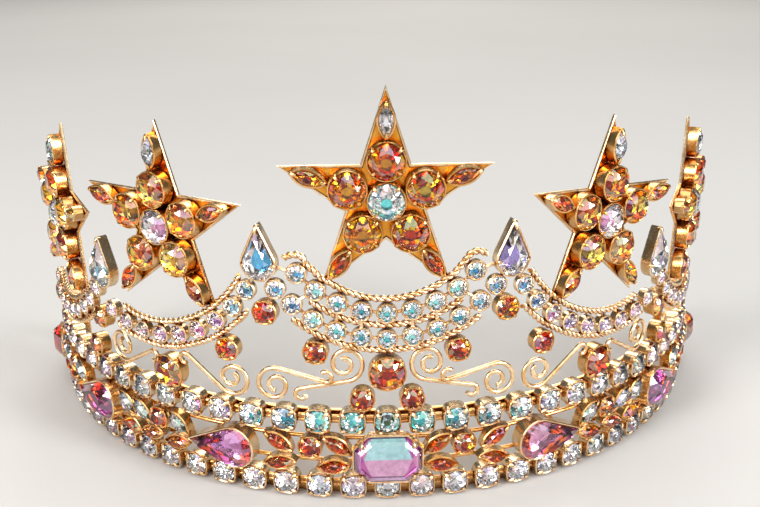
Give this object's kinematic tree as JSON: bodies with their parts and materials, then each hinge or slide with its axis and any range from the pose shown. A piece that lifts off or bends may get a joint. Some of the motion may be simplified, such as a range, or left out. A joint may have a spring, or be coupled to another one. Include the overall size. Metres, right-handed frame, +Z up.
{
  "type": "crown",
  "caption": "Open-backed pageant crown of gold-coloured metal with cup-set faceted stones, rope-wire swags, wire scrolls and upright stars.",
  "frame": {"origin": "centre of the head ring at the level of the surface that the crown stands on", "axes": "+Z up, -Y out of the centre front, +X to the right as seen from the front"},
  "size_m": [0.1532, 0.079, 0.0764],
  "materials": {
    "gold": "polished gold plate",
    "crystal": "faceted clear stone with an iridescent coating",
    "topaz": "faceted amber stone with an iridescent coating",
    "rose": "faceted rose-red stone with an iridescent coating"
  },
  "bodies": {
    "root": {"amber_leaf_stones": "topaz", "centre_star_plate": "gold", "centre_swag_bottom_rope": "gold", "centre_swag_cups": "gold", "centre_swag_middle_rope": "gold", "centre_swag_stones": "crystal", "centre_swag_top_rope": "gold", "clear_leaf_stones": "crystal", "connector_cups": "gold", "connector_stones": "topaz", "drop_round_cups": "gold", "drop_round_stones": "topaz", "end_eyes": "gold", "end_posts": "gold", "far_left_star_plate": "gold", "far_right_star_plate": "gold", "far_swag_bottom_ropes": "gold", "far_swag_top_ropes": "gold", "gallery_leaf_cups": "gold", "gallery_pear_cups": "gold", "gallery_pear_stones": "rose", "gallery_round_cups": "gold", "gallery_round_stones": "topaz", "inner_scrolls": "gold", "large_connector_cups": "gold", "large_connector_stones": "topaz", "left_star_plate": "gold", "lower_band_strip": "gold", "lower_bearer_wire": "gold", "lower_chain_cups": "gold", "lower_chain_links": "gold", "lower_chain_stones": "crystal", "octagon_cup": "gold", "octagon_stone": "crystal", "outer_scrolls": "gold", "peak_pear_cups": "gold", "peak_pear_stones": "crystal", "rear_scrolls": "gold", "right_star_plate": "gold", "side_scrolls": "gold", "side_swag_bottom_ropes": "gold", "side_swag_cups": "gold", "side_swag_stones": "crystal", "side_swag_top_ropes": "gold", "star_leaf_cups": "gold", "star_leaf_stones": "topaz", "star_middle_cups": "gold", "star_middle_stones": "crystal", "star_round_cups": "gold", "star_round_stones": "topaz", "upper_band_strip": "gold", "upper_bearer_wire": "gold", "upper_chain_cups": "gold", "upper_chain_links": "gold", "upper_chain_stones": "crystal"}
  },
  "joints": []
}
